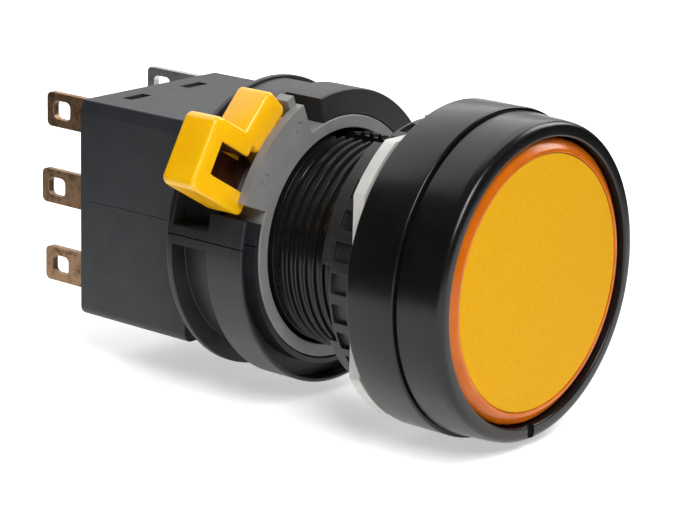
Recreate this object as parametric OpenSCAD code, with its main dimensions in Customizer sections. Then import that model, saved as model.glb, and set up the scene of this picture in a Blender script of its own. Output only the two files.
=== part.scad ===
// Illuminated industrial push button for a 22 mm panel hole.
// Millimetres. The axis is Y: the button faces -Y, the contact block is towards +Y, +Z is up.
// The origin is on the axis, at the face that rests on the panel.

/* [Head] */
// Radius of the collar that rests on the panel
collar_r = 16.4; // [16:0.1:17]
// Height of the collar in front of the panel
collar_h = 5.6; // [5.2:0.1:6.5]
// Height of the whole head in front of the panel
head_h = 10.8; // [10.4:0.1:12]
// Radius of the button's lens
lens_r = 14.1; // [13.9:0.1:14.2]
// Travel of the button
travel = 2.6; // [1:0.1:2.8]

/* [Threaded barrel] */
// Radius over the thread crests
thread_r = 11; // [10.9:0.05:11.05]
// Distance between thread crests
pitch = 1.11; // [1:0.01:1.5]
// Length of the barrel behind the panel
barrel_l = 20.8; // [19:0.1:21]

/* [Panel fixings] */
// Half width of the square plate behind the head
plate_half = 13.6; // [13:0.1:14]
// Thickness of the square plate
plate_t = 1.3; // [1:0.1:1.4]
// Outer radius of the ring nut
nut_r = 13.9; // [13.2:0.1:14.5]
// Number of shallow pockets round the nut's rim
nut_pockets = 28; // [16:4:32]

/* [Mounting adaptor] */
// Outer radius of the adaptor
adaptor_r = 15.2; // [14.8:0.1:15.6]
// Distance from the panel to the adaptor's front face
adaptor_y = 14.2; // [14.2:0.1:14.6]
// Width of the adaptor's front band
band_w = 4.6; // [4.4:0.1:4.8]
// Height of the joint between the adaptor's halves above the axis
split_z = 1.4; // [1:0.1:2]

/* [Contact block] */
// Width of the contact block
block_w = 21.2; // [20.8:0.1:23]
// Height of the contact block
block_h = 23.2; // [23:0.1:25]
// Distance from the panel to the block's front face
block_y = 25.8; // [25.6:0.1:26]
// Depth of the contact block
block_d = 15; // [15:0.1:17]
// Height of each terminal tab
tab_h = 3.7; // [3:0.1:3.8]
// Thickness of each terminal tab
tab_t = 0.8; // [0.5:0.1:0.8]

/* [Hidden] */
$fn = 96;

slip = 0.1;         // clearance round a sliding or turning part
cut = 1;            // how far a cutting shape runs past a face
fine_gap = 0.05;    // gap between flat faces of neighbouring parts

// Head
bezel_y = -collar_h - 0.3;      // rear edge of the bezel ring
bezel_rear_r = collar_r - 0.35;
bezel_front_r = bezel_rear_r - 0.2;
bezel_bore_r = lens_r + 0.2;
spigot_r = 15;
spigot_h = 2;
web_t = 1.2;                    // floor of the collar's cavity
bore_r = 9;                     // bore of the barrel
plain_r = 10.6;                 // barrel under the plate and nut, and the thread's root
pilot_r = 10.8;                 // barrel behind the thread
thread_start = 5.45;
key_w = 3;                      // keyway along the top of the barrel
key_depth = 1;

gasket_in = 12.4;
gasket_out = 14.9;
gasket_depth = 0.7;
gasket_proud = 0.25;

plate_y = gasket_proud;
nut_y = plate_y + plate_t + fine_gap;
nut_rim = 2.55;                 // thickness of the nut between its raised sectors
nut_sector = 1.05;              // further height of the raised sectors
notch_w = 8;

// Button
button_y = -head_h + 0.1;       // front face of the lens
disc_r = 12.7;
disc_t = 0.7;
lens_skirt = 4.2;
stem_r = bore_r - slip;
stem_in = 7.4;
stem_end = 17.5;
holder_flange_y = button_y + lens_skirt + 0.2;
holder_flange_t = 1.1;
holder_flange_r = lens_r - 1.1;
spring_y = holder_flange_y + holder_flange_t;

// Adaptor and lock
band_end = adaptor_y + band_w;
core_r = 13.2;
core_in = 11.3;
lock_out = 12.5;
lock_in = 11.16;
lock_end = adaptor_y + 5.2;
lock_seat = lock_end + slip;
flange_y = adaptor_y + 9.3;
flange_t = 0.7;
neck_r = 13;
neck_in = 9.4;
split_gap = 0.12;
rib_t = 0.9;
ear_r = 15.8;
ear_t = 1;
ear_from = 113;                 // angles are seen from the front: 90 is up, 180 is -X
ear_to = 158;
window_from = 103.5;
window_to = 164;
lever_angle = 150;
lever_w = 4.15;
lever_y = adaptor_y + ear_t;
grip_in = 20.9;
grip_out = 22.8;
arm_in = 14.5;
arm_bottom = -3.2;
bar_top = 4.4;
pocket = [[14, -1.05], [20.9, 2.3]];
pocket_back = 0.8;
upper_tilt = 13.5;

// Contact block
block_end = block_y + block_d;
wall = 1;
cover_t = 1.4;
tab_x = -8.4;
lamp_tab_x = 9;
tab_z = [9.4, 1, -7.5];         // normally open, common, normally closed
tab_end = [47.6, 48.4, 47.9];
lamp_tab_z = [9.35, -7.5];
lamp_tab_end = [49.6, 49.2];
tab_hole = [2.4, 2];
tab_hole_edge = 1;              // metal between the hole and the tab's end
stem_h = 2.2;                   // height of a tab's tail inside the block
blade_y = 30.5;                 // front face of the moving contact
blade_t = 0.5;
rod_w = 1.2;
rod_h = 2.2;
rod_x = -8.05;
rivet_r = 0.9;
rivet_h = 0.7;
open_y = blade_y + blade_t + travel + slip;     // face of the normally open contact
closed_y = 29;                  // arm of the normally closed contact
closed_arm = 0.8;
closed_z = -4.6;
spring_seat_y = 35.4;           // front face of the common terminal's tail

lamp_r = 4.4;
lamp_front = 9;
cap_r = 4.9;
cap_y = 22;
cap_end = 33.5;
socket_in = 5.05;
socket_out = 6;
socket_end = 34.2;
strip_t = 0.5;

// Solid of revolution about Y, from points given as [radius, y].
module turned(points) rotate([-90, 0, 0]) rotate_extrude() polygon(points);

// Plain ring between two radii, from y0 to y1.
module ring(r_out, r_in, y0, y1) turned([[r_in, y0], [r_out, y0], [r_out, y1], [r_in, y1]]);

// Round bar along Y.
module bar(r, y0, y1) translate([0, y0, 0]) rotate([-90, 0, 0]) cylinder(r = r, h = y1 - y0);

// Box from one corner to the opposite one.
module span(a, b) translate(a) cube(b - a);

// Turns +X to the angle phi, seen from the front.
module at_angle(phi) rotate([0, -phi, 0]) children();

// Prism along Y from y0 to y1, of an outline given in X and Z.
module prism(y0, y1) translate([0, y1, 0]) rotate([90, 0, 0]) linear_extrude(y1 - y0) children();

// Sector of a disc in the X-Z outline plane, between two angles less than 180 apart.
module sector(r, a0, a1)
    intersection() {
        circle(r);
        polygon([[0, 0], for (a = [a0 : (a1 - a0) / 4 : a1]) 2 * r * [cos(a), sin(a)]]);
    }

// Rectangle with rounded corners, from one corner to the opposite one.
module rounded(a, b, r) {
    translate(a + [r, 0]) square(b - a - [2 * r, 0]);
    translate(a + [0, r]) square(b - a - [0, 2 * r]);
    for (x = [a[0] + r, b[0] - r], z = [a[1] + r, b[1] - r]) translate([x, z]) circle(r);
}

module bezel_ring() color([0.06, 0.06, 0.065])
    difference() {
        turned([[spigot_r + slip, bezel_y], [bezel_rear_r, bezel_y],
                [bezel_front_r, -head_h + 0.8], [bezel_front_r - 0.12, -head_h + 0.3],
                [bezel_front_r - 0.4, -head_h], [bezel_bore_r + 0.15, -head_h],
                [bezel_bore_r, -head_h + 0.15], [bezel_bore_r, -collar_h - spigot_h],
                [spigot_r + slip, -collar_h - spigot_h]]);
        // small notch in the front rim, at the bottom
        span([-1.1, -head_h - cut, -bezel_front_r - cut], [0, -head_h + 0.5, -bezel_bore_r + 0.5]);
    }

module operator_barrel() color([0.05, 0.05, 0.055])
    difference() {
        union() {
            turned([[bore_r, -web_t], [bezel_bore_r, -web_t], [bezel_bore_r, -collar_h - spigot_h],
                    [spigot_r, -collar_h - spigot_h], [spigot_r, -collar_h],
                    [collar_r - 0.3, -collar_h], [collar_r, -collar_h + 0.3], [collar_r, -0.3],
                    [collar_r - 0.3, 0], [gasket_out, 0], [gasket_out, -gasket_depth],
                    [gasket_in, -gasket_depth], [gasket_in, 0], [plain_r, 0],
                    [plain_r, adaptor_y - 0.3], [pilot_r, adaptor_y - 0.3], [pilot_r, barrel_l - 0.4],
                    [pilot_r - 0.4, barrel_l], [bore_r, barrel_l]]);
            for (y = [thread_start : pitch : adaptor_y - 0.6])
                turned([[plain_r - 0.3, y - 0.36], [plain_r, y - 0.36], [thread_r, y - 0.12],
                        [thread_r, y + 0.12], [plain_r, y + 0.36], [plain_r - 0.3, y + 0.36]]);
        }
        // keyway along the top
        span([-key_w / 2, 0, thread_r - key_depth], [key_w / 2, barrel_l + cut, thread_r + cut]);
    }

module panel_gasket() color([0.08, 0.08, 0.08])
    ring(gasket_out - 0.05, gasket_in + 0.05, -gasket_depth, gasket_proud - fine_gap);

module anti_rotation_plate() color([0.82, 0.83, 0.84])
    prism(plate_y, plate_y + plate_t) {
        difference() {
            intersection() {
                square(2 * plate_half, center = true);
                circle(plate_half * 1.2);
            }
            circle(plain_r + slip);
        }
        // tooth in the barrel's keyway
        translate([-key_w / 2 + slip, thread_r - key_depth + slip]) square([key_w - 2 * slip, 1.4]);
    }

module ring_nut() color([0.07, 0.07, 0.075])
    difference() {
        ring(nut_r, plain_r + 2 * slip, nut_y, nut_y + nut_rim + nut_sector);
        for (a = [10 : 90 : 280]) at_angle(a)
            span([0, nut_y + nut_rim, -notch_w / 2], [nut_r + cut, nut_y + nut_rim + nut_sector + cut, notch_w / 2]);
        for (i = [0 : nut_pockets - 1]) at_angle(i * 360 / nut_pockets)
            span([nut_r - 0.5, nut_y + 0.35, -1], [nut_r + cut, nut_y + 2.25, 1]);
    }

module button_lens() color([0.95, 0.6, 0.12])
    turned([[0, button_y + disc_t], [disc_r + 0.05, button_y + disc_t], [disc_r + 0.05, button_y],
            [disc_r + 0.35, button_y], [lens_r, button_y + 0.7], [lens_r, button_y + lens_skirt],
            [lens_r - 1, button_y + lens_skirt], [lens_r - 1, button_y + disc_t + 1], [0, button_y + disc_t + 1]]);

module legend_disc() color([0.93, 0.72, 0.14]) bar(disc_r, button_y + 0.05, button_y + disc_t);

module light_diffuser() color([0.93, 0.93, 0.9])
    bar(lens_r - 1.2, button_y + disc_t + 1.1, button_y + disc_t + 1.9);

module lens_holder() color([0.9, 0.9, 0.88])
    turned([[stem_in, button_y + lens_skirt - 1.2], [holder_flange_r, button_y + lens_skirt - 1.2],
            [holder_flange_r, spring_y], [stem_r, spring_y], [stem_r, stem_end], [stem_in, stem_end]]);

module wiper_seal() color([0.1, 0.1, 0.1])
    turned([[holder_flange_r, holder_flange_y + 0.1], [holder_flange_r + 0.5, holder_flange_y + 0.1],
            [bezel_bore_r - slip, holder_flange_y + 0.5], [bezel_bore_r - slip, spring_y - 0.1],
            [holder_flange_r, spring_y - 0.1]]);

module button_spring() color([0.75, 0.76, 0.78])
    difference() {
        bar(11.2, spring_y + fine_gap, -web_t - fine_gap);
        bar(10.2, spring_y - cut, cut);
    }

// Both adaptor halves before they are parted.
module adaptor_whole() {
    difference() {
        union() {
            ring(adaptor_r, lock_out + slip, adaptor_y, band_end);
            ring(core_r, lock_out + slip, adaptor_y, lock_seat);
            ring(core_r, core_in, lock_seat, flange_y + flange_t);
            ring(adaptor_r, core_in, flange_y, flange_y + flange_t);
            ring(neck_r, neck_in, flange_y + flange_t - 1, block_y);
            // web that closes the groove at the top
            prism(lock_seat - 0.3, flange_y + 0.1) difference() {
                sector(adaptor_r - 0.3, 84, 110);
                circle(core_r - 0.2);
            }
            // ribs along the joint of the halves
            for (side = [-1, 1]) prism(band_end - 0.1, flange_y + 0.1) intersection() {
                difference() { circle(adaptor_r); circle(core_r - 0.2); }
                translate([side * adaptor_r, split_z]) square([8, 2 * rib_t + split_gap], center = true);
            }
        }
        // recess in the front face, round the left, the bottom and the right
        difference() {
            ring(adaptor_r - 0.35, core_r, adaptor_y - cut, adaptor_y + 1.8);
            prism(adaptor_y - 2 * cut, adaptor_y + 3) sector(adaptor_r + 2, 10, 112);
        }
        // window for the lever
        prism(adaptor_y - cut, lock_seat - fine_gap) sector(adaptor_r + 3, window_from, window_to);
    }
}

// Keeps what lies between two heights.
module between(z0, z1)
    intersection() {
        children();
        span([-adaptor_r - cut, adaptor_y - cut, z0], [adaptor_r + cut, block_y + cut, z1]);
    }

module adaptor_upper() color([0.26, 0.27, 0.29])
    between(split_z + split_gap / 2, adaptor_r + cut) adaptor_whole();

module adaptor_lower() color([0.26, 0.27, 0.29])
    between(-adaptor_r - cut, split_z - split_gap / 2) adaptor_whole();

module lock_ring() color([0.68, 0.68, 0.68]) {
    ring(lock_out, lock_in, adaptor_y, lock_end);
    prism(adaptor_y, adaptor_y + ear_t) difference() {
        sector(ear_r, ear_from, ear_to);
        circle(lock_out - 0.2);
    }
    // stop tooth behind the top of the ear
    prism(adaptor_y + ear_t, adaptor_y + ear_t + 1.6) difference() {
        sector(ear_r + 1, ear_from + 0.5, ear_from + 4);
        circle(lock_out - 0.2);
    }
}

// Outline of the lever, with X out along its own angle and Y towards 12 o'clock.
module lever_outline() {
    rounded([grip_in, arm_bottom], [grip_out, bar_top], 0.8);
    rounded([arm_in, arm_bottom], [grip_in + 1, pocket[0][1] - 0.5], 0.4);
    translate([arm_in + 1.3, arm_bottom + 0.5]) square([2, pocket[0][1] - arm_bottom - 0.5]);
    rounded([16.4, pocket[1][1]], [grip_in + 1, bar_top], 0.3);
    rotate(upper_tilt) rounded([15.2, -0.6], [18.6, 5.1], 0.7);
}

module lock_lever() color([0.98, 0.76, 0.14])
    difference() {
        union() {
            at_angle(lever_angle) prism(lever_y, lever_y + lever_w) mirror([0, 1]) lever_outline();
            // roots that join the two arms and the back of the pocket to the ring
            prism(lever_y, lever_y + lever_w) {
                sector(15.4, 120, 137);
                sector(14.7, 154, 158);
            }
            prism(lever_y + lever_w - pocket_back, lever_y + lever_w) sector(17.2, 122, 157);
            at_angle(lever_angle) prism(lever_y + lever_w - pocket_back, lever_y + lever_w)
                mirror([0, 1]) translate(pocket[0]) square(pocket[1] - pocket[0]);
        }
        bar(lock_out + slip / 2, lever_y - cut, lever_y + lever_w + cut);
        // pocket in the grip, open towards the ring
        at_angle(lever_angle) prism(lever_y - cut, lever_y + lever_w - pocket_back)
            mirror([0, 1]) translate(pocket[0]) square(pocket[1] - pocket[0]);
    }

// Outline of the contact block: rounded below, with a narrow bevel along both top edges.
module block_outline() {
    half = block_w / 2;
    top = block_h / 2;
    rounded([-half, -top], [half, top - 2], 1);
    polygon([[-half, -top + 2], [half, -top + 2], [half, top - 1.3], [half - 0.5, top],
             [0.5 - half, top], [-half, top - 1.3]]);
}

// Snap windows in the block's top, and the tongues that spring into them.
module snap_places() for (x = [-5.25, 3.45]) translate([x, 0, 0]) children();

module block_housing() color([0.25, 0.26, 0.28])
    difference() {
        prism(block_y, block_end) block_outline();
        span([wall - block_w / 2, block_y + wall, wall - block_h / 2],
             [block_w / 2 - wall, block_end + cut, block_h / 2 - wall]);
        bar(cap_r + 0.5, block_y - cut, block_y + wall + cut);
        translate([rod_x, 0, 0])
            span([-rod_w / 2 - slip, block_y - cut, -rod_h / 2 - slip],
                 [rod_w / 2 + slip, block_y + wall + cut, rod_h / 2 + slip]);
        snap_places() span([-1.55, block_end - 3.6, block_h / 2 - wall - cut], [1.55, block_end - 2.3, block_h / 2 + cut]);
    }

module block_rear_cover() color([0.23, 0.24, 0.26])
    difference() {
        union() {
            span([wall - block_w / 2, block_end - cover_t, wall - block_h / 2],
                 [block_w / 2 - wall, block_end, block_h / 2 - wall]);
            snap_places() {
                span([-1.4, block_end - 3.6, block_h / 2 - wall - 0.7], [1.4, block_end - cover_t + 0.1, block_h / 2 - wall]);
                span([-1.4, block_end - 3.5, block_h / 2 - wall - 0.1], [1.4, block_end - 2.4, block_h / 2 - 0.5]);
            }
        }
        for (i = [0 : 2]) tail_slot(tab_x, tab_z[i]);
        for (z = lamp_tab_z) tail_slot(lamp_tab_x, z);
    }

// Hole in the rear cover for one terminal's tail.
module tail_slot(x, z)
    span([x - tab_t / 2 - fine_gap, block_end - cover_t - cut, z - stem_h / 2 - fine_gap],
         [x + tab_t / 2 + fine_gap, block_end + cut, z + stem_h / 2 + fine_gap]);

// Slab across X, of an outline given in Y and Z.
module slab(x0, x1) translate([x0, 0, 0]) rotate([90, 0, 90]) linear_extrude(x1 - x0) children();

// Terminal: a drilled tab outside the block, and a narrower tail that runs in to tail_y.
module terminal(x, z, end, tail_y)
    slab(x - tab_t / 2, x + tab_t / 2) difference() {
        union() {
            rounded([block_end + fine_gap, z - tab_h / 2], [end, z + tab_h / 2], 0.6);
            translate([tail_y, z - stem_h / 2]) square([block_end + cut - tail_y, stem_h]);
        }
        rounded([end - tab_hole_edge - tab_hole[0], z - tab_hole[1] / 2],
                [end - tab_hole_edge, z + tab_hole[1] / 2], 0.6);
    }

module terminal_normally_open() color([0.58, 0.47, 0.38])
    terminal(tab_x, tab_z[0], tab_end[0], open_y + rivet_h);

module terminal_common() color([0.58, 0.47, 0.38])
    terminal(tab_x, tab_z[1], tab_end[1], spring_seat_y);

module terminal_normally_closed() color([0.58, 0.47, 0.38]) {
    terminal(tab_x, tab_z[2], tab_end[2], closed_y);
    // arm that carries the contact in front of the blade
    span([tab_x - tab_t / 2, closed_y, tab_z[2] + stem_h / 2 - 0.1],
         [tab_x + tab_t / 2, closed_y + closed_arm, closed_z + rivet_r]);
}

module lamp_terminal_upper() color([0.85, 0.85, 0.86]) {
    terminal(lamp_tab_x, lamp_tab_z[0], lamp_tab_end[0], socket_end);
    // strip to the lamp socket's shell
    prism(socket_end, socket_end + strip_t) {
        translate([3.9, 3.6]) square([lamp_tab_x + tab_t / 2 - 3.9, 1.2]);
        translate([lamp_tab_x - tab_t / 2, 3.6]) square([tab_t, lamp_tab_z[0] - 3.6]);
    }
}

module lamp_terminal_lower() color([0.85, 0.85, 0.86])
    terminal(lamp_tab_x, lamp_tab_z[1], lamp_tab_end[1], socket_end + strip_t);

module lamp_centre_contact() color([0.8, 0.6, 0.3])
    prism(socket_end, socket_end + strip_t) {
        translate([-1.6, -1.6]) square([lamp_tab_x + tab_t / 2 + 1.6, 1.6]);
        translate([lamp_tab_x - tab_t / 2, lamp_tab_z[1] - stem_h / 2]) square([tab_t, -lamp_tab_z[1] + stem_h / 2]);
    }

module contact_rivets() color([0.8, 0.8, 0.82]) {
    translate([tab_x, 0, tab_z[0]]) bar(rivet_r, open_y, open_y + rivet_h);
    translate([tab_x, 0, closed_z]) bar(rivet_r, closed_y + closed_arm, blade_y - fine_gap);
}

module contact_plunger() color([0.85, 0.85, 0.82])
    translate([rod_x, 0, 0]) span([-rod_w / 2, stem_end + fine_gap, -rod_h / 2], [rod_w / 2, blade_y, rod_h / 2]);

module moving_contact() color([0.78, 0.5, 0.3])
    span([tab_x - 0.9, blade_y, closed_z - 0.8], [tab_x + 0.9, blade_y + blade_t, tab_z[0] + 0.9]);

module contact_spring() color([0.75, 0.76, 0.78])
    translate([tab_x, 0, tab_z[1]]) difference() {
        bar(1, blade_y + blade_t + fine_gap, spring_seat_y - fine_gap);
        bar(0.65, blade_y, spring_seat_y + cut);
    }

module led_lamp() color([1, 0.95, 0.75])
    turned([[0, lamp_front], for (a = [0 : 15 : 90]) [lamp_r * sin(a), lamp_front + lamp_r * (1 - cos(a))],
            [lamp_r, cap_y], [0, cap_y]]);

module lamp_base() color([0.83, 0.7, 0.4]) {
    turned([[0, cap_y], [cap_r - 0.4, cap_y], [cap_r, cap_y + 0.4], [cap_r, cap_end - 0.6],
            [cap_r - 1.2, cap_end], [0, cap_end]]);
    bar(1.2, cap_end - 0.2, socket_end - fine_gap);
}

module lamp_socket() color([0.9, 0.9, 0.88]) ring(socket_out, socket_in, block_y + wall, socket_end);

bezel_ring();
operator_barrel();
panel_gasket();
anti_rotation_plate();
ring_nut();
button_lens();
legend_disc();
light_diffuser();
lens_holder();
wiper_seal();
button_spring();
adaptor_upper();
adaptor_lower();
lock_ring();
lock_lever();
block_housing();
block_rear_cover();
terminal_normally_open();
terminal_common();
terminal_normally_closed();
lamp_terminal_upper();
lamp_terminal_lower();
contact_rivets();
contact_plunger();
moving_contact();
contact_spring();
led_lamp();
lamp_base();
lamp_socket();
lamp_centre_contact();
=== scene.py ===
import math
import bpy
import bmesh
from mathutils import Matrix, Vector


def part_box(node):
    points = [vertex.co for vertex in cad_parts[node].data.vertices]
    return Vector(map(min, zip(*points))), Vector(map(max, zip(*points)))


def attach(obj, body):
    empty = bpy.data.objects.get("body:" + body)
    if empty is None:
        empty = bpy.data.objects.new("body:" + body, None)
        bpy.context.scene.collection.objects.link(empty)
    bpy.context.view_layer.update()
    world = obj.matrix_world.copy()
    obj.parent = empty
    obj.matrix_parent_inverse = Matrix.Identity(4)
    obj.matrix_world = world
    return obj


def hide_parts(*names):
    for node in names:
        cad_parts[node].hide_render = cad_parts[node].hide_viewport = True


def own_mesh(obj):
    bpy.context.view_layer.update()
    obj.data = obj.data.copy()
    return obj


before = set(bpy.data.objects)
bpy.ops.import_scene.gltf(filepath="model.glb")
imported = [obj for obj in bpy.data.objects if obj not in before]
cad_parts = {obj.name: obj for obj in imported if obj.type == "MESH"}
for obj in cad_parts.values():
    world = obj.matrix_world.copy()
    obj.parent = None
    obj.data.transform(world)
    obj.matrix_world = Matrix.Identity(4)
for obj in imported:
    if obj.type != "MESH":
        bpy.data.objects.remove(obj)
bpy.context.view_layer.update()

# ---------------------------------------------------------------- sizes
# Lengths below are in millimetres, in the CAD frame: the axis is Y, the button faces -Y.

MM = 0.001
TURN = 2 * math.pi


def extent(node):
    """Lowest and highest corner of a CAD node, in millimetres."""
    low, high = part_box(node)
    return Vector(low) / MM, Vector(high) / MM


BEZEL_LOW, BEZEL_HIGH = extent("bezel_ring")
BARREL_HIGH = extent("operator_barrel")[1]
PLATE_LOW, PLATE_HIGH = extent("anti_rotation_plate")
NUT_LOW, NUT_HIGH = extent("ring_nut")
LENS_LOW, LENS_HIGH = extent("button_lens")
DISC_LOW, DISC_HIGH = extent("legend_disc")
UPPER_LOW = extent("adaptor_upper")[0]
LOWER_LOW, LOWER_HIGH = extent("adaptor_lower")
RING_HIGH = extent("lock_ring")[1]
LEVER_LOW, LEVER_HIGH = extent("lock_lever")
BLOCK_LOW, BLOCK_HIGH = extent("block_housing")
SOCKET_LOW, SOCKET_HIGH = extent("lamp_socket")
CAP_LOW, CAP_HIGH = extent("lamp_base")
LAMP_LOW, LAMP_HIGH = extent("led_lamp")
HOLDER_LOW, HOLDER_HIGH = extent("lens_holder")

COLLAR_R = BARREL_HIGH.x
BEZEL_R = BEZEL_HIGH.x
LENS_R = LENS_HIGH.x
DISC_R = DISC_HIGH.x
NUT_R = NUT_HIGH.x
ADAPTOR_R = LOWER_HIGH.x
ADAPTOR_Y = LOWER_LOW.y
BLOCK_Y = BLOCK_LOW.y
HEAD_Y = BEZEL_LOW.y
SEAM_Y = BEZEL_HIGH.y
BORE_R = LENS_R + 0.2               # opening round the lens
SPIGOT_R = 15.0                     # spigot that the bezel is pushed onto
TUBE_BORE = 9.0
TUBE_R = 10.6                       # bottom of the thread
PILOT_R = 10.8                      # plain end behind the thread
THREAD_R = 11.0                     # top of the thread
PITCH = 1.11
THREAD_FROM = NUT_HIGH.y + 0.15
THREAD_TO = ADAPTOR_Y - 0.75
KEY_W = 3.0                         # keyway along the top of the barrel
KEY_FLOOR = THREAD_R - 1.0
SHARP = 35                          # angle in degrees above which an edge is shaded crisp

# ---------------------------------------------------------------- outlines


def rounded(corners, steps=6):
    """Closed outline from (x, y, radius) corners, with each corner turned into an arc."""
    points = []
    count = len(corners)
    for i, (x, y, radius) in enumerate(corners):
        here = Vector((x, y))
        back = Vector(corners[i - 1][:2]) - here
        ahead = Vector(corners[(i + 1) % count][:2]) - here
        if radius <= 0 or back.length < 1e-6 or ahead.length < 1e-6:
            points.append(here)
            continue
        back_dir, ahead_dir = back.normalized(), ahead.normalized()
        angle = back_dir.angle(ahead_dir)
        if angle > math.pi - 0.02:
            points.append(here)
            continue
        reach = radius / math.tan(angle / 2)
        reach = min(reach, back.length * 0.49, ahead.length * 0.49)
        radius = reach * math.tan(angle / 2)
        middle = (back_dir + ahead_dir).normalized()
        centre = here + middle * (radius / math.sin(angle / 2))
        start = here + back_dir * reach - centre
        end = here + ahead_dir * reach - centre
        sweep = start.angle_signed(end)
        for k in range(steps + 1):
            turn = Matrix.Rotation(-sweep * k / steps, 2)
            points.append(centre + turn @ start)
    return points


def rectangle(low, high, radius):
    """Rounded rectangle outline between two corners."""
    return rounded([(low[0], low[1], radius), (high[0], low[1], radius),
                    (high[0], high[1], radius), (low[0], high[1], radius)])


# ---------------------------------------------------------------- meshes


def new_object(name, mesh):
    obj = bpy.data.objects.new(name, mesh)
    bpy.context.scene.collection.objects.link(obj)
    return obj


def finish_mesh(name, bm):
    """Mesh object from a bmesh drawn in millimetres, with its normals turned outwards."""
    bmesh.ops.remove_doubles(bm, verts=bm.verts, dist=1e-4)
    bmesh.ops.recalc_face_normals(bm, faces=bm.faces)
    mesh = bpy.data.meshes.new(name)
    bm.to_mesh(mesh)
    bm.free()
    smooth(mesh)
    return new_object(name, mesh)


def smooth(mesh, sharp=SHARP):
    """Shades a mesh smooth, except across edges above an angle in degrees."""
    for face in mesh.polygons:
        face.use_smooth = True
    mesh.set_sharp_from_angle(angle=math.radians(sharp))


def lathe(name, outline, segments=192):
    """Revolves a closed outline of (radius, y) about Y."""
    bm = bmesh.new()
    rings = []
    for k in range(segments):
        angle = TURN * k / segments
        rings.append([bm.verts.new((r * math.cos(angle), y, r * math.sin(angle))) for r, y in outline])
    count = len(outline)
    for k in range(segments):
        near, far = rings[k], rings[(k + 1) % segments]
        for i in range(count):
            j = (i + 1) % count
            if abs(outline[i][0]) < 1e-9 and abs(outline[j][0]) < 1e-9:
                continue
            bm.faces.new((near[i], near[j], far[j], far[i]))
    return finish_mesh(name, bm)


def threaded(name, before, after, y0, y1, pitch, root, crest, segments=288):
    """Revolved outline with a true helical thread between its parts before y0 and after y1."""
    # one turn of the thread, as (share of the pitch, share of the height)
    profile = [(0, 0), (0.16, 0), (0.25, 0.12), (0.36, 0.88), (0.43, 1),
               (0.57, 1), (0.64, 0.88), (0.75, 0.12), (0.84, 0)]
    per_turn = len(profile)
    turns = math.ceil((y1 - y0) / pitch) + 1
    bm = bmesh.new()
    rings = []
    for k in range(segments):
        angle = TURN * k / segments
        ring = []
        for turn_number in range(-1, turns):
            for share, height in profile:
                y = min(max(y0 + (turn_number + share + k / segments) * pitch, y0), y1)
                fade = max(0.0, min(1.0, (y - y0) / (0.5 * pitch), (y1 - y) / (0.5 * pitch)))
                ring.append((root + (crest - root) * height * fade, y))
        ring = [(r, y) for r, y in before] + ring + [(r, y) for r, y in after]
        rings.append([bm.verts.new((r * math.cos(angle), y, r * math.sin(angle))) for r, y in ring])
    first, last = len(before), len(before) + per_turn * (turns + 1) - 1
    count = len(rings[0])
    for k in range(segments):
        near, far = rings[k], rings[(k + 1) % segments]
        wrap = per_turn if k == segments - 1 else 0
        for i in range(count):
            j = (i + 1) % count
            inside = first <= i < last
            shift = wrap if inside else 0
            if inside and j + shift > last:
                continue
            corners = [near[i], near[j], far[j + shift], far[i + shift]]
            if (corners[0].co - corners[3].co).length < 1e-7:
                corners = corners[:3]
            bm.faces.new(corners)
    return finish_mesh(name, bm)


def prism(name, outline, y0, y1):
    """Extrudes an outline of (x, z) along Y."""
    bm = bmesh.new()
    front = [bm.verts.new((x, y0, z)) for x, z in outline]
    rear = [bm.verts.new((x, y1, z)) for x, z in outline]
    bm.faces.new(front)
    bm.faces.new(rear)
    for i in range(len(outline)):
        j = (i + 1) % len(outline)
        bm.faces.new((front[i], front[j], rear[j], rear[i]))
    return finish_mesh(name, bm)


def slab(name, outline, x0, x1):
    """Extrudes an outline of (y, z) along X."""
    bm = bmesh.new()
    left = [bm.verts.new((x0, y, z)) for y, z in outline]
    right = [bm.verts.new((x1, y, z)) for y, z in outline]
    bm.faces.new(left)
    bm.faces.new(right)
    for i in range(len(outline)):
        j = (i + 1) % len(outline)
        bm.faces.new((left[i], left[j], right[j], right[i]))
    return finish_mesh(name, bm)


def boxes(name, spans):
    """One mesh of separate boxes, each from (low, high, angle about Y in degrees)."""
    bm = bmesh.new()
    for low, high, angle in spans:
        low, high = Vector(low), Vector(high)
        made = bmesh.ops.create_cube(bm, size=1)["verts"]
        bmesh.ops.scale(bm, vec=high - low, verts=made)
        bmesh.ops.translate(bm, vec=(low + high) / 2, verts=made)
        bmesh.ops.rotate(bm, cent=(0, 0, 0), matrix=Matrix.Rotation(-math.radians(angle), 3, "Y"), verts=made)
    return finish_mesh(name, bm)


def sector(radius, a0, a1, inner=0.0, steps=48):
    """Outline in (x, z) of a ring's sector between two angles in degrees, seen from the front."""
    outer = [(radius * math.cos(math.radians(a0 + (a1 - a0) * k / steps)),
              radius * math.sin(math.radians(a0 + (a1 - a0) * k / steps))) for k in range(steps + 1)]
    if inner <= 0:
        return outer + [(0.0, 0.0)]
    return outer + [(inner * math.cos(math.radians(a1 - (a1 - a0) * k / steps)),
                     inner * math.sin(math.radians(a1 - (a1 - a0) * k / steps))) for k in range(steps + 1)]


def to_metres(obj):
    obj.data.transform(Matrix.Scale(MM, 4))
    return obj


def bake(obj, sharp=SHARP):
    """Applies an object's modifiers to its mesh, and unless sharp is None, cleans and shades it."""
    graph = bpy.context.evaluated_depsgraph_get()
    mesh = bpy.data.meshes.new_from_object(obj.evaluated_get(graph))
    obj.modifiers.clear()
    obj.data = mesh
    if sharp:
        bm = bmesh.new()
        bm.from_mesh(mesh)
        bmesh.ops.remove_doubles(bm, verts=bm.verts, dist=1e-4)
        bmesh.ops.dissolve_degenerate(bm, edges=bm.edges, dist=1e-4)
        bm.to_mesh(mesh)
        bm.free()
        smooth(mesh, sharp)
    return obj


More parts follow.
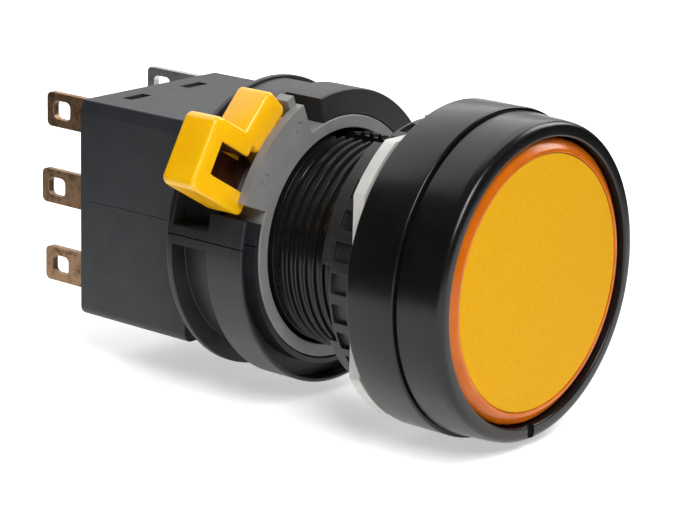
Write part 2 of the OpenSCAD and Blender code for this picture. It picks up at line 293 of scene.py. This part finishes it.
def combine(obj, other, operation):
    """Boolean of two objects, which uses the second one up."""
    step = obj.modifiers.new("combine", "BOOLEAN")
    step.operation = operation
    step.solver = "EXACT"
    step.object = other
    bake(obj)
    bpy.data.objects.remove(other)
    return obj


def cut(obj, other):
    return combine(obj, other, "DIFFERENCE")


def join(obj, other):
    return combine(obj, other, "UNION")


def soften(obj, width, segments=3, angle=40):
    """Rounds an object's sharp edges by a width in millimetres."""
    step = obj.modifiers.new("soften", "BEVEL")
    step.width = width
    step.segments = segments
    step.limit_method = "ANGLE"
    step.angle_limit = math.radians(angle)
    bake(obj, 50)
    step = obj.modifiers.new("even shading", "WEIGHTED_NORMAL")
    step.keep_sharp = True
    return bake(obj, None)


def coil(name, centre, y0, y1, radius, wire, turns):
    """Compression spring along Y, with its end turns closed."""
    steps, sides = int(turns * 36), 12
    bm = bmesh.new()
    rings = []
    for k in range(steps + 1):
        share = k / steps
        angle = TURN * turns * share
        dead = 0.9 / turns
        rise = min(max((share - dead) / (1 - 2 * dead), 0.0), 1.0)
        y = y0 + wire + (y1 - y0 - 2 * wire) * rise
        out = Vector((math.cos(angle), 0, math.sin(angle)))
        ring = []
        for s in range(sides):
            a = TURN * s / sides
            at = Vector(centre) + out * (radius + wire * math.cos(a)) + Vector((0, y + wire * math.sin(a), 0))
            ring.append(bm.verts.new(at))
        rings.append(ring)
    for near, far in zip(rings, rings[1:]):
        for s in range(sides):
            t = (s + 1) % sides
            bm.faces.new((near[s], near[t], far[t], far[s]))
    bm.faces.new(rings[0])
    bm.faces.new(rings[-1])
    return finish_mesh(name, bm)


# ---------------------------------------------------------------- materials


class Shader:
    """A procedural material, built node by node. Texture coordinates are millimetres in the CAD frame."""

    def __init__(self, name, roughness, **sockets):
        self.material = bpy.data.materials.new(name)
        self.material.use_nodes = True
        tree = self.material.node_tree
        self.nodes, self.links = tree.nodes, tree.links
        self.shader = self.nodes["Principled BSDF"]
        self.shader.inputs["Roughness"].default_value = roughness
        for socket, value in sockets.items():
            self.shader.inputs[socket.replace("_", " ")].default_value = value
        place = self.nodes.new("ShaderNodeTexCoord")
        scale = self.nodes.new("ShaderNodeVectorMath")
        scale.operation = "SCALE"
        scale.inputs["Scale"].default_value = 1 / MM
        self.links.new(place.outputs["Object"], scale.inputs[0])
        self.place = scale.outputs[0]

    def stretched(self, x, y, z):
        """Texture coordinates multiplied along each axis."""
        step = self.nodes.new("ShaderNodeVectorMath")
        step.operation = "MULTIPLY"
        step.inputs[1].default_value = (x, y, z)
        self.links.new(self.place, step.inputs[0])
        return step.outputs[0]

    def noise(self, scale, detail=4.0, rough=0.55, at=None):
        step = self.nodes.new("ShaderNodeTexNoise")
        step.inputs["Scale"].default_value = scale
        step.inputs["Detail"].default_value = detail
        step.inputs["Roughness"].default_value = rough
        self.links.new(at or self.place, step.inputs["Vector"])
        return step.outputs["Fac"]

    def ramp(self, value, low, high, to_low=0.0, to_high=1.0):
        """Maps a value between two limits onto another range."""
        step = self.nodes.new("ShaderNodeMapRange")
        for socket, number in (("From Min", low), ("From Max", high), ("To Min", to_low), ("To Max", to_high)):
            step.inputs[socket].default_value = number
        self.links.new(value, step.inputs["Value"])
        return step.outputs["Result"]

    def mix(self, share, a, b):
        """Colour between a and b. Each is a colour, or an earlier step's output."""
        step = self.nodes.new("ShaderNodeMix")
        step.data_type = "RGBA"
        for socket, colour in ((step.inputs[6], a), (step.inputs[7], b)):
            if isinstance(colour, tuple):
                socket.default_value = (*colour, 1)
            else:
                self.links.new(colour, socket)
        self.links.new(share, step.inputs[0])
        return step.outputs[2]

    def colour(self, output):
        self.links.new(output, self.shader.inputs["Base Color"])
        return self

    def roughness(self, output):
        self.links.new(output, self.shader.inputs["Roughness"])
        return self

    def bump(self, height, strength, distance):
        """Adds fine relief, of a depth in millimetres."""
        step = self.nodes.new("ShaderNodeBump")
        step.inputs["Strength"].default_value = strength
        step.inputs["Distance"].default_value = distance * MM
        self.links.new(height, step.inputs["Height"])
        if self.shader.inputs["Normal"].is_linked:
            self.links.new(self.shader.inputs["Normal"].links[0].from_socket, step.inputs["Normal"])
        self.links.new(step.outputs["Normal"], self.shader.inputs["Normal"])
        return self


def moulded(name, dark, light, roughness, grain=0.25, grain_scale=9.0, scuffs=0.0, cloud=0.35, **sockets):
    """Moulded plastic: faint cloudy colour, a fine moulded grain and, if asked for, light scuffs."""
    made = Shader(name, roughness, **sockets)
    body = made.mix(made.ramp(made.noise(cloud), 0.3, 0.7), dark, light)
    if scuffs:
        marks = made.ramp(made.noise(1.6, 8.0, 0.75, made.stretched(3.5, 0.8, 0.8)), 0.6, 0.8, 0.0, scuffs)
        body = made.mix(marks, body, tuple(min(1.0, c + 0.16) for c in light))
    made.colour(body)
    made.roughness(made.ramp(made.noise(1.2, 3.0), 0.25, 0.75, roughness - 0.03, roughness + 0.04))
    made.bump(made.noise(grain_scale, 3.0, 0.6), grain, 0.02)
    return made.material


def metal(name, dark, light, roughness, spots=0.0, spot_colour=(0.1, 0.07, 0.05), stretch=(1, 1, 1)):
    """Metal with fine brushing along one axis and, if asked for, darker tarnish."""
    made = Shader(name, roughness, Metallic=1.0)
    lines = made.noise(2.5, 8.0, 0.7, made.stretched(*stretch))
    body = made.mix(made.ramp(lines, 0.3, 0.7), dark, light)
    if spots:
        body = made.mix(made.ramp(made.noise(1.1, 7.0, 0.7), 0.48, 0.66, 0.0, spots), body, spot_colour)
    made.colour(body)
    made.roughness(made.ramp(lines, 0.25, 0.75, roughness - 0.08, roughness + 0.1))
    made.bump(lines, 0.2, 0.01)
    return made.material


MATERIALS = {
    "head_black": moulded("head_black", (0.004, 0.004, 0.0045), (0.007, 0.007, 0.0075), 0.24, 0.08, 14.0,
                          Specular_IOR_Level=0.33),
    "nut_black": moulded("nut_black", (0.012, 0.012, 0.013), (0.022, 0.022, 0.023), 0.42, 0.3, 7.0, 0.6,
                         Specular_IOR_Level=0.4),
    "seal_rubber": moulded("seal_rubber", (0.012, 0.012, 0.012), (0.02, 0.02, 0.02), 0.7, 0.5, 6.0),
    "plate_metal": moulded("plate_metal", (0.52, 0.51, 0.49), (0.62, 0.61, 0.58), 0.42, 0.2, 5.0),
    "lens_amber": moulded("lens_amber", (0.55, 0.095, 0.003), (0.66, 0.135, 0.004), 0.2, 0.05, 4.0,
                          Subsurface_Weight=0.2, Specular_IOR_Level=0.3),
    "disc_yellow": moulded("disc_yellow", (0.57, 0.286, 0.0035), (0.67, 0.345, 0.005), 0.7, 0.45, 11.0,
                           cloud=7.0, Specular_IOR_Level=0.1),
    "diffuser_white": moulded("diffuser_white", (0.82, 0.82, 0.79), (0.88, 0.88, 0.85), 0.5, 0.3, 8.0),
    "holder_white": moulded("holder_white", (0.72, 0.72, 0.68), (0.8, 0.8, 0.76), 0.38, 0.15, 8.0),
    "spring_steel": metal("spring_steel", (0.5, 0.5, 0.52), (0.66, 0.66, 0.68), 0.28),
    "adaptor_charcoal": moulded("adaptor_charcoal", (0.014, 0.0155, 0.0175), (0.021, 0.023, 0.026), 0.42,
                                0.22, 10.0, 0.05, Specular_IOR_Level=0.4),
    "lock_grey": moulded("lock_grey", (0.18, 0.18, 0.176), (0.23, 0.23, 0.226), 0.42, 0.2, 8.0, 0.1),
    "lever_yellow": moulded("lever_yellow", (0.97, 0.45, 0.003), (0.99, 0.49, 0.005), 0.22, 0.08, 5.0,
                            Subsurface_Weight=0.12),
    "block_charcoal": moulded("block_charcoal", (0.020, 0.022, 0.0255), (0.028, 0.030, 0.034), 0.5, 0.35, 8.0, 0.04,
                              Specular_IOR_Level=0.4),
    "terminal_bronze": metal("terminal_bronze", (0.26, 0.155, 0.085), (0.44, 0.28, 0.165), 0.48,
                             0.8, (0.07, 0.04, 0.022), (1, 1, 3)),
    "terminal_silver": metal("terminal_silver", (0.45, 0.45, 0.45), (0.6, 0.6, 0.6), 0.36,
                             0.3, (0.3, 0.3, 0.3), (1, 1, 3)),
    "contact_silver": metal("contact_silver", (0.7, 0.7, 0.72), (0.85, 0.85, 0.87), 0.25),
    "blade_copper": metal("blade_copper", (0.62, 0.3, 0.16), (0.75, 0.4, 0.24), 0.3,
                          0.3, (0.2, 0.08, 0.04), (1, 1, 4)),
    "lamp_lens": moulded("lamp_lens", (0.85, 0.78, 0.55), (0.92, 0.86, 0.65), 0.12, 0.04, 4.0,
                        Subsurface_Weight=0.2, Coat_Weight=0.6),
    "lamp_brass": metal("lamp_brass", (0.62, 0.44, 0.16), (0.78, 0.58, 0.26), 0.25,
                        0.2, (0.25, 0.15, 0.05), (1, 4, 1)),
}


def piece(obj, node, body, slot):
    """Scales a finished piece to metres, gives it its finish and its body, and lets it stand for its CAD node."""
    to_metres(obj)
    obj.data.materials.clear()
    obj.data.materials.append(MATERIALS[slot])
    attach(obj, body)
    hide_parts(node)
    return obj


# ---------------------------------------------------------------- head

GROOVE_IN, GROOVE_OUT, GROOVE_Y = 12.4, 14.9, -0.7      # groove for the gasket in the collar's rear
GASKET_IN, GASKET_OUT = 12.45, 14.85

bezel = lathe("bezel", rounded([
    (SPIGOT_R + 0.1, SEAM_Y + 0.14, 0.1), (BEZEL_R, SEAM_Y + 0.14, 0.16), (BEZEL_R - 0.2, HEAD_Y + 1.2, 1.5),
    (BEZEL_R - 0.34, HEAD_Y, 0.95), (BORE_R, HEAD_Y, 0.2), (BORE_R, SEAM_Y - 1.7, 0),
    (SPIGOT_R + 0.1, SEAM_Y - 1.7, 0)]))
cut(bezel, boxes("notch", [((-1.1, HEAD_Y - 1, -BEZEL_R - 1), (0, HEAD_Y + 0.5, 0.5 - BORE_R), 0)]))
piece(bezel, "bezel_ring", "operator", "head_black")

barrel = threaded("barrel", rounded([
    (TUBE_BORE, -1.2, 0.15), (BORE_R, -1.2, 0), (BORE_R, SEAM_Y - 1.7, 0.15), (SPIGOT_R, SEAM_Y - 1.7, 0.1),
    (SPIGOT_R, SEAM_Y + 0.3, 0), (COLLAR_R, SEAM_Y + 0.3, 0.2), (COLLAR_R, 0, 0.3), (GROOVE_OUT, 0, 0),
    (GROOVE_OUT, GROOVE_Y, 0), (GROOVE_IN, GROOVE_Y, 0), (GROOVE_IN, 0, 0), (TUBE_R, 0, 0)]), rounded([
    (TUBE_R, ADAPTOR_Y - 0.35, 0), (PILOT_R, ADAPTOR_Y - 0.3, 0.05), (PILOT_R, BARREL_HIGH.y, 0.4),
    (TUBE_BORE, BARREL_HIGH.y, 0.2)]), THREAD_FROM, THREAD_TO, PITCH, TUBE_R, THREAD_R)
cut(barrel, boxes("keyway", [((-KEY_W / 2, 0, KEY_FLOOR), (KEY_W / 2, BARREL_HIGH.y + 1, THREAD_R + 1), 0)]))
piece(barrel, "operator_barrel", "operator", "head_black")

gasket = lathe("gasket", rounded([(GASKET_IN, GROOVE_Y, 0.15), (GASKET_OUT, GROOVE_Y, 0.15),
                                  (GASKET_OUT, 0.2, 0.3), (GASKET_IN, 0.2, 0.3)]))
piece(gasket, "panel_gasket", "operator", "seal_rubber")

half = PLATE_HIGH.x
corner_r = half * 1.2
spread = 45 - math.degrees(math.acos(half / corner_r))
plate = prism("plate", [(corner_r * math.cos(math.radians(a + spread * (k / 8 - 1))),
                         corner_r * math.sin(math.radians(a + spread * (k / 8 - 1))))
                        for a in (45, 135, 225, 315) for k in range(17)], PLATE_LOW.y, PLATE_HIGH.y)
cut(plate, lathe("plate_hole", [(0, -1), (TUBE_R + 0.1, -1), (TUBE_R + 0.1, 3), (0, 3)]))
join(plate, boxes("plate_tooth", [((0.1 - KEY_W / 2, PLATE_LOW.y, KEY_FLOOR + 0.1),
                                   (KEY_W / 2 - 0.1, PLATE_HIGH.y, TUBE_R + 0.6), 0)]))
soften(plate, 0.1, 2)
piece(plate, "anti_rotation_plate", "operator", "plate_metal")

# ---------------------------------------------------------------- ring nut

NUT_POCKETS = 28
WRENCH_SLOTS = (10, 100, 190, 280)      # in degrees
nut_step = NUT_LOW.y + 2.55
nut = lathe("nut", rounded([(TUBE_R + 0.2, NUT_LOW.y, 0.2), (NUT_R, NUT_LOW.y, 0.15),
                            (NUT_R, NUT_HIGH.y, 0.15), (TUBE_R + 0.2, NUT_HIGH.y, 0.2)]), 224)
cut(nut, boxes("nut_cuts", [
    ((5, nut_step, -4), (NUT_R + 1, NUT_HIGH.y + 1, 4), a) for a in WRENCH_SLOTS] + [
    ((NUT_R - 0.5, NUT_LOW.y + 0.35, -1), (NUT_R + 1, NUT_LOW.y + 2.25, 1), 360 * i / NUT_POCKETS)
    for i in range(NUT_POCKETS)]))
soften(nut, 0.09, 2)
piece(nut, "ring_nut", "nut", "nut_black")

# ---------------------------------------------------------------- button

face = LENS_LOW.y
back = LENS_HIGH.y
lens = lathe("lens", rounded([
    (0, face + 0.7, 0), (DISC_R + 0.05, face + 0.7, 0.05), (DISC_R + 0.05, face, 0.08), (DISC_R + 0.4, face, 0.2),
    (LENS_R, face + 0.75, 0.5), (LENS_R, back, 0.1), (LENS_R - 1, back, 0.1), (LENS_R - 1, face + 1.7, 0.3),
    (0, face + 1.7, 0)]))
piece(lens, "button_lens", "button", "lens_amber")

disc = lathe("disc", rounded([(0, DISC_LOW.y, 0), (DISC_R, DISC_LOW.y, 0.12), (DISC_R, DISC_HIGH.y, 0),
                              (0, DISC_HIGH.y, 0)]))
piece(disc, "legend_disc", "button", "disc_yellow")

low, high = extent("light_diffuser")
diffuser = lathe("diffuser", rounded([(0, low.y, 0), (high.x, low.y, 0.2), (high.x, high.y, 0.2), (0, high.y, 0)]))
piece(diffuser, "light_diffuser", "button", "diffuser_white")

flange = back + 0.2
spring_y = flange + 1.1
holder = lathe("holder", rounded([
    (7.4, HOLDER_LOW.y, 0.2), (HOLDER_HIGH.x, HOLDER_LOW.y, 0.2), (HOLDER_HIGH.x, spring_y, 0.2),
    (8.9, spring_y, 0), (8.9, HOLDER_HIGH.y, 0.3), (7.4, HOLDER_HIGH.y, 0.2)]))
piece(holder, "lens_holder", "button", "holder_white")

low, high = extent("wiper_seal")
seal = lathe("seal", rounded([(HOLDER_HIGH.x, low.y, 0.05), (HOLDER_HIGH.x + 0.5, low.y, 0.15),
                              (high.x, low.y + 0.4, 0.15), (high.x, high.y, 0.15), (HOLDER_HIGH.x, high.y, 0.05)]))
piece(seal, "wiper_seal", "button", "seal_rubber")

low, high = extent("button_spring")
button_coil = coil("button_coil", (0, 0, 0), low.y, high.y, high.x - 0.3, 0.2, 3.2)
piece(button_coil, "button_spring", "button", "spring_steel")
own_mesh(button_coil)

# ---------------------------------------------------------------- adaptor

MOUTH_R = 12.6                      # opening round the lock ring
WAIST_R = 13.2                      # between the front band and the flange
HUB_R = 13.0                        # behind the flange
band_end = ADAPTOR_Y + 4.6
core_end = ADAPTOR_Y + 5.3
flange_y = ADAPTOR_Y + 9.3
split = (UPPER_LOW.z + LOWER_HIGH.z) / 2
gap = UPPER_LOW.z - LOWER_HIGH.z


def adaptor(name, z0, z1):
    """One half of the adaptor, between two heights."""
    body = lathe(name, rounded([
        (MOUTH_R, ADAPTOR_Y, 0.15), (ADAPTOR_R, ADAPTOR_Y, 0.2), (ADAPTOR_R, band_end, 0.2), (WAIST_R, band_end, 0.15),
        (WAIST_R, flange_y, 0.1), (ADAPTOR_R, flange_y, 0.15), (ADAPTOR_R, flange_y + 0.7, 0.2),
        (HUB_R, flange_y + 0.7, 0.1), (HUB_R, BLOCK_Y, 0), (9.4, BLOCK_Y, 0), (9.4, flange_y - 0.3, 0),
        (11.3, flange_y - 0.3, 0), (11.3, core_end, 0.1), (MOUTH_R, core_end, 0)]), 240)
    web = prism("web", sector(ADAPTOR_R - 0.3, 84, 110, HUB_R), core_end - 0.3, flange_y + 0.1)
    join(body, web)
    ribs = cut(lathe("ribs", [(HUB_R, band_end - 0.1), (ADAPTOR_R - 0.02, band_end - 0.1),
                              (ADAPTOR_R - 0.02, flange_y + 0.1), (HUB_R, flange_y + 0.1)]),
               boxes("rib_gaps", [((-20, 0, split + 0.96), (20, 40, 20), 0),
                                  ((-20, 0, -20), (20, 40, split - 0.96), 0)]))
    join(body, ribs)
    cut(body, prism("recess", sector(ADAPTOR_R - 0.35, 112, 370, WAIST_R, 96), ADAPTOR_Y - 1, ADAPTOR_Y + 1.8))
    cut(body, prism("window", sector(ADAPTOR_R + 3, 103.5, 164), ADAPTOR_Y - 1, core_end - 0.05))
    keep = boxes("keep", [((-20, 0, z0), (20, 40, z1), 0)])
    combine(body, keep, "INTERSECT")
    return soften(body, 0.1, 2, 50)


upper = adaptor("adaptor_upper_half", split + gap / 2, 30)
piece(upper, "adaptor_upper", "unit", "adaptor_charcoal")
lower = adaptor("adaptor_lower_half", -30, split - gap / 2)
piece(lower, "adaptor_lower", "unit", "adaptor_charcoal")

# ---------------------------------------------------------------- lock

ring_r, ring_in, ear_r = 12.5, 11.16, 15.8
ring_end = RING_HIGH.y
lock = lathe("lock", rounded([(ring_in, ADAPTOR_Y, 0.15), (ring_r, ADAPTOR_Y, 0.12), (ring_r, ring_end, 0.12),
                              (ring_in, ring_end, 0.12)]))
join(lock, prism("ear", sector(ear_r, 113, 158, ring_r - 0.3), ADAPTOR_Y, ADAPTOR_Y + 1))
join(lock, prism("tooth", sector(ear_r + 1, 113.5, 117, ring_r - 0.3, 6), ADAPTOR_Y + 0.9, ADAPTOR_Y + 2.6))
MARK_R = 14.1                       # round marks on the ear
for angle in (119, 146):
    a = math.radians(angle)
    mark = lathe("mark", [(0.42, -0.06), (0.6, -0.06), (0.6, 0.06), (0.42, 0.06)], 48)
    mark.data.transform(Matrix.Translation((MARK_R * math.cos(a), ADAPTOR_Y, MARK_R * math.sin(a))))
    cut(lock, mark)
soften(lock, 0.1, 2, 50)
piece(lock, "lock_ring", "lock", "lock_grey")

lever_y0, lever_y1 = LEVER_LOW.y, LEVER_HIGH.y
LEVER_ANGLE = math.radians(150)
out = Vector((math.cos(LEVER_ANGLE), math.sin(LEVER_ANGLE)))
along = Vector((out.y, -out.x))


def on_lever(points):
    """Outline in (x, z) of points given as (distance out, distance towards 12 o'clock) on the lever."""
    return [out * n + along * t for n, t in points]


def tilted(low, high, radius, degrees):
    """Rounded rectangle outline, turned about the origin."""
    c, s = math.cos(math.radians(degrees)), math.sin(math.radians(degrees))
    return [(p.x * c - p.y * s, p.x * s + p.y * c) for p in rectangle(low, high, radius)]


pocket_low, pocket_high = (14.0, -1.05), (20.9, 2.3)
pocket_floor = lever_y1 - 0.8
ROOT_R = 12.55                      # where the lever meets the lock ring


def arm(name, outline, round_by):
    """One convex part of the lever, with softly rounded edges."""
    return soften(prism(name, on_lever(outline), lever_y0, lever_y1), round_by, 4, 35)


lever = arm("lever", rectangle((20.2, -3.2), (22.8, 4.4), 0.9), 0.45)
join(lever, arm("lower_arm", rectangle((14.5, -3.2), (22.0, -1.0), 0.5), 0.3))
join(lever, arm("top_bar", rectangle((16.4, 2.25), (22.0, 4.4), 0.4), 0.3))
join(lever, arm("upper_arm", tilted((15.2, -0.6), (18.6, 5.1), 0.75, 13.5), 0.45))
join(lever, prism("root_a", sector(15.4, 120, 137, ROOT_R), lever_y0, lever_y1))
join(lever, prism("root_b", sector(14.7, 154, 158, ROOT_R), lever_y0, lever_y1))
join(lever, prism("back_plate", sector(17.2, 122, 157, ROOT_R), pocket_floor, lever_y1))
join(lever, prism("pocket_back", on_lever(rectangle(pocket_low, (pocket_high[0] + 0.4, pocket_high[1] + 0.4), 0)),
                  pocket_floor, lever_y1 - 0.02))
cut(lever, prism("pocket", on_lever([pocket_low, (pocket_high[0], pocket_low[1]), pocket_high,
                                     (pocket_low[0], pocket_high[1])]), lever_y0 - 1, pocket_floor))
cut(lever, lathe("lever_bore", [(0, 10), (ring_r + 0.05, 10), (ring_r + 0.05, 25), (0, 25)]))
piece(lever, "lock_lever", "lock", "lever_yellow")
# Painted shade: faces on the pocket's floor and walls get a second, dark red-brown material, which stands for the
# yellow plastic in the pocket's shadow.
lever.data.materials.append(moulded("pocket_painted_shade", (0.05, 0.012, 0.004), (0.09, 0.022, 0.006), 0.4, 0.3, 4.0))
for polygon in lever.data.polygons:
    spot = Vector((polygon.center.x, polygon.center.z)) / MM
    n, t = spot.dot(out), spot.dot(along)
    inside = n < pocket_high[0] + 0.01 and pocket_low[1] - 0.01 < t < pocket_high[1] + 0.01
    if inside and n > 12.7 and polygon.center.y / MM < pocket_floor + 0.01:
        polygon.material_index = 1

# ---------------------------------------------------------------- contact block

w, h = BLOCK_HIGH.x, BLOCK_HIGH.z
WALL = 1
block_y1 = BLOCK_HIGH.y
block = prism("block", rounded([(-w, -h, 1), (w, -h, 1), (w, h - 1.3, 0.3), (w - 0.5, h, 0.2),
                                (0.5 - w, h, 0.2), (-w, h - 1.3, 0.3)]), BLOCK_Y, block_y1)
cut(block, boxes("block_inside", [((WALL - w, BLOCK_Y + WALL, WALL - h), (w - WALL, block_y1 + WALL, h - WALL), 0)]))
cut(block, lathe("block_bore", [(0, 20), (5.4, 20), (5.4, 28), (0, 28)], 96))
cut(block, boxes("block_windows", [
    ((-8.75, 20, -1.2), (-7.35, BLOCK_Y + 2, 1.2), 0)] + [
    ((x - 1.55, block_y1 - 3.6, h - 2), (x + 1.55, block_y1 - 2.3, h + 1), 0) for x in (-5.25, 3.45)] + [
    ((-w - 1, BLOCK_Y - 1, 1.0), (0.06 - w, block_y1 - 1.2, 1.12), 0)]))
soften(block, 0.12, 2, 50)
piece(block, "block_housing", "unit", "block_charcoal")


def tab(name, node, slot, z, tail_y, arms=()):
    """Drilled terminal tab with its narrower tail, at its CAD node's place, and any arms inside the block."""
    low, high = extent(node)
    x0, x1 = (-8.8, -8.0) if low.x < 0 else (8.6, 9.4)
    end = high.y
    obj = slab(name, rounded([(block_y1 + 0.05, z - 1.85, 0.3), (end, z - 1.85, 0.6), (end, z + 1.85, 0.6),
                              (block_y1 + 0.05, z + 1.85, 0.3)]), x0, x1)
    cut(obj, slab("hole", rectangle((end - 3.4, z - 1), (end - 1, z + 1), 0.6), x0 - 1, x1 + 1))
    join(obj, boxes("tail", [((x0, tail_y, z - 1.1), (x1, block_y1 + 0.4, z + 1.1), 0)]))
    for span in arms:
        join(obj, boxes("arm", [(*span, 0)]))
    soften(obj, 0.07, 2, 50)
    return piece(obj, node, "unit", slot)


open_y = extent("contact_rivets")[1].y
closed = extent("terminal_normally_closed")[0].y
strip_y = SOCKET_HIGH.y
tab("tab_normally_open", "terminal_normally_open", "terminal_bronze", 9.4, open_y)
tab("tab_common", "terminal_common", "terminal_bronze", 1.0, 35.4)
tab("tab_normally_closed", "terminal_normally_closed", "terminal_bronze", -7.5, closed,
    [((-8.8, closed, -6.5), (-8.0, closed + 0.8, -3.7))])
tab("tab_lamp_upper", "lamp_terminal_upper", "terminal_silver", 9.35, strip_y,
    [((3.9, strip_y, 3.6), (9.4, strip_y + 0.5, 4.8)), ((8.6, strip_y, 3.7), (9.4, strip_y + 0.5, 9.3))])
tab("tab_lamp_lower", "lamp_terminal_lower", "terminal_silver", -7.5, strip_y + 0.5)

# ---------------------------------------------------------------- contacts and lamp

low, high = extent("contact_spring")
contact_coil = coil("contact_coil", ((low.x + high.x) / 2, 0, (low.z + high.z) / 2), low.y, high.y, 0.86, 0.13, 6.0)
piece(contact_coil, "contact_spring", "contact", "spring_steel")
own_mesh(contact_coil)

CAP_R = CAP_HIGH.x
cap_y, cap_end = CAP_LOW.y, CAP_HIGH.y - 0.65
cap_from, cap_to = cap_y + 0.8, cap_end - 1.0
cap = threaded("cap", rounded([(1.2, CAP_HIGH.y, 0), (0.01, CAP_HIGH.y, 0), (0.01, cap_y, 0), (CAP_R - 0.4, cap_y, 0.1),
                               (CAP_R - 0.4, cap_y + 0.4, 0)]),
               rounded([(CAP_R - 0.4, cap_end - 0.7, 0), (CAP_R - 1.2, cap_end, 0.4), (1.2, cap_end, 0.1)]),
               cap_from, cap_to, 1.8, CAP_R - 0.4, CAP_R, 128)
piece(cap, "lamp_base", "unit", "lamp_brass")

lamp_r, lamp_y = LAMP_HIGH.x, LAMP_LOW.y
dome = [(lamp_r * math.sin(math.radians(a)), lamp_y + lamp_r * (1 - math.cos(math.radians(a))))
        for a in range(0, 91, 5)]
lamp = lathe("lamp", dome + [(lamp_r, LAMP_HIGH.y - 1.2), (lamp_r - 0.25, LAMP_HIGH.y - 0.9),
                             (lamp_r - 0.25, LAMP_HIGH.y), (0, LAMP_HIGH.y)], 96)
piece(lamp, "led_lamp", "unit", "lamp_lens")

socket = lathe("socket", rounded([(5.05, SOCKET_LOW.y, 0.15), (SOCKET_HIGH.x, SOCKET_LOW.y, 0.15),
                                  (SOCKET_HIGH.x, SOCKET_HIGH.y, 0.15), (5.05, SOCKET_HIGH.y, 0.3)]), 96)
piece(socket, "lamp_socket", "unit", "holder_white")


def finish_node(node, slot, width):
    """Gives a CAD node that is shown as it is its finish and softer edges."""
    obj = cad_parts[node]
    obj.data.materials.clear()
    obj.data.materials.append(MATERIALS[slot])
    weld = obj.modifiers.new("weld", "WELD")
    weld.merge_threshold = 1e-6
    bevel = obj.modifiers.new("soft edges", "BEVEL")
    bevel.width = width * MM
    bevel.segments = 2
    bevel.limit_method = "ANGLE"
    bevel.angle_limit = math.radians(50)


finish_node("block_rear_cover", "block_charcoal", 0.08)
finish_node("contact_plunger", "holder_white", 0.1)
finish_node("moving_contact", "blade_copper", 0.06)
finish_node("contact_rivets", "contact_silver", 0.1)
finish_node("lamp_centre_contact", "lamp_brass", 0.05)

# ---------------------------------------------------------------- stage, light and camera

FLOOR_HALF = 900
floor_z = -BEZEL_R - 0.6
floor = to_metres(prism("floor", [(-FLOOR_HALF, 0), (FLOOR_HALF, 0), (FLOOR_HALF, -2), (-FLOOR_HALF, -2)],
                        -FLOOR_HALF, FLOOR_HALF))
floor.location.z = floor_z * MM
backing = Shader("floor_white", 0.9)
backing.colour(backing.mix(backing.ramp(backing.noise(0.01), 0.3, 0.7), (0.9, 0.9, 0.9), (0.92, 0.92, 0.92)))
backing.shader.inputs["Emission Color"].default_value = (1, 1, 1, 1)
backing.shader.inputs["Emission Strength"].default_value = 0.5
floor.data.materials.append(backing.material)

AZIMUTH, ELEVATION, ROLL = math.radians(-50.818), math.radians(15.565), math.radians(1.453)
DISTANCE, SHIFT = 260.0, Vector((-9.978, 0.108))
FOCAL_SHARE = 2642.679 / 700        # focal length over the picture's width
SENSOR = 36

back_dir = Vector((math.sin(AZIMUTH) * math.cos(ELEVATION), -math.cos(AZIMUTH) * math.cos(ELEVATION),
                   math.sin(ELEVATION)))
side = Vector((math.cos(AZIMUTH), math.sin(AZIMUTH), 0))
top = back_dir.cross(side)
right_dir = math.cos(ROLL) * side + math.sin(ROLL) * top
up_dir = -math.sin(ROLL) * side + math.cos(ROLL) * top
turn = Matrix((right_dir, up_dir, back_dir)).transposed()

lens_data = bpy.data.cameras.new("camera")
lens_data.sensor_width = SENSOR
lens_data.lens = SENSOR * FOCAL_SHARE
lens_data.clip_start, lens_data.clip_end = 0.01, 20
camera = new_object("camera", lens_data)
camera.matrix_world = Matrix.Translation(
    (back_dir * DISTANCE + right_dir * SHIFT.x + up_dir * SHIFT.y) * MM) @ turn.to_4x4()
bpy.context.scene.camera = camera

AIM = Vector((0, 15, 0))            # the point that every light faces


def softbox(name, towards, distance, size, power):
    """Rectangular area light, placed along a direction (right, up, back) as the camera sees it."""
    data = bpy.data.lights.new(name, "AREA")
    data.shape = "RECTANGLE"
    data.size, data.size_y = size[0] * MM, size[1] * MM
    data.energy = power
    obj = new_object(name, data)
    line = (right_dir * towards[0] + up_dir * towards[1] + back_dir * towards[2]).normalized()
    obj.location = (AIM + line * distance) * MM
    obj.rotation_euler = line.to_track_quat("Z", "Y").to_euler()
    return obj


softbox("key", (-0.2, 0.85, -0.4), 420, (640, 420), 1.45)
softbox("backdrop", (0.0, 0.42, -1.0), 420, (800, 300), 0.42)
softbox("front", (0.2, 0.65, 1.0), 520, (200, 300), 2.6)
softbox("edge", (0.7, 0.65, -0.25), 460, (220, 260), 1.3)
softbox("rim", (-1.0, 0.35, -0.25), 480, (120, 320), 1.0)

# Black cards stand on both sides and keep the head's sides and rim dark. The camera doesn't see them.
for name, across, height in (("flag_left", -74, 60), ("flag_right", 84, 30)):
    flag = to_metres(boxes(name, [((-0.2, -150, -13), (0.2, 150, height), 0)]))
    flag.rotation_euler.z = AZIMUTH + math.radians(12)
    flag.location = (right_dir * across + Vector((0, 10, 0))) * MM
    flag.data.materials.append(moulded(name + "_black", (0.001, 0.001, 0.001), (0.002, 0.002, 0.002), 0.9,
                                       Specular_IOR_Level=0.0))
    flag.visible_camera = False

world = bpy.data.worlds.new("studio")
world.use_nodes = True
world.node_tree.nodes["Background"].inputs["Color"].default_value = (0.93, 0.94, 0.96, 1)
world.node_tree.nodes["Background"].inputs["Strength"].default_value = 0.04
bpy.context.scene.world = world

bpy.context.scene.view_settings.view_transform = "Standard"
